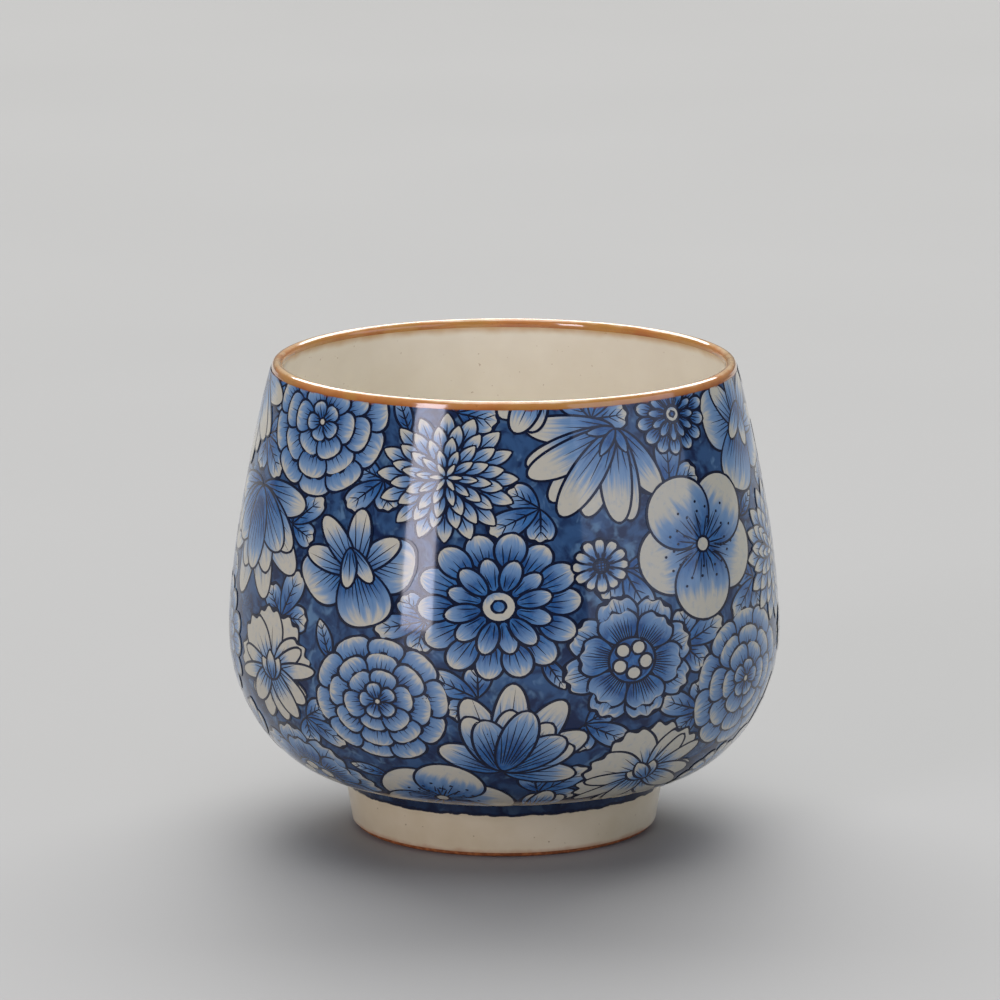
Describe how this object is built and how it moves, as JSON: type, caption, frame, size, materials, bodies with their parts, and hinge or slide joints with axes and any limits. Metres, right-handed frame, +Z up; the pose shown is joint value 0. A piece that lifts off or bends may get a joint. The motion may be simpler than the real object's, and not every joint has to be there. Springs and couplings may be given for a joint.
{
  "type": "teacup",
  "caption": "Tall rounded handleless teacup with a turned foot ring, an all-over blue flower-printed glaze, a cream inside and an amber lip.",
  "frame": {"origin": "centre of the foot's resting face", "axes": "+Z up the cup's axis of revolution, out of the mouth; +X and +Y lie in the resting face, and -Y is the side seen head on"},
  "size_m": [0.078, 0.078, 0.067],
  "materials": {
    "fired_clay": "bare fired light clay",
    "bare_foot_clay": "bare fired clay, flashed orange",
    "cream_glaze": "gloss cream glaze",
    "blue_print_glaze": "gloss clear glaze over cobalt print",
    "amber_glaze": "gloss iron-brown lip glaze",
    "foot_cream_glaze": "satin cream glaze",
    "recess_glaze": "gloss cream glaze"
  },
  "bodies": {
    "root": {"clay_body": "fired_clay", "foot_ring": "bare_foot_clay", "liner_glaze": "cream_glaze", "printed_glaze": "blue_print_glaze", "rim_band": "amber_glaze", "foot_glaze": "foot_cream_glaze", "base_glaze": "recess_glaze"}
  },
  "joints": []
}
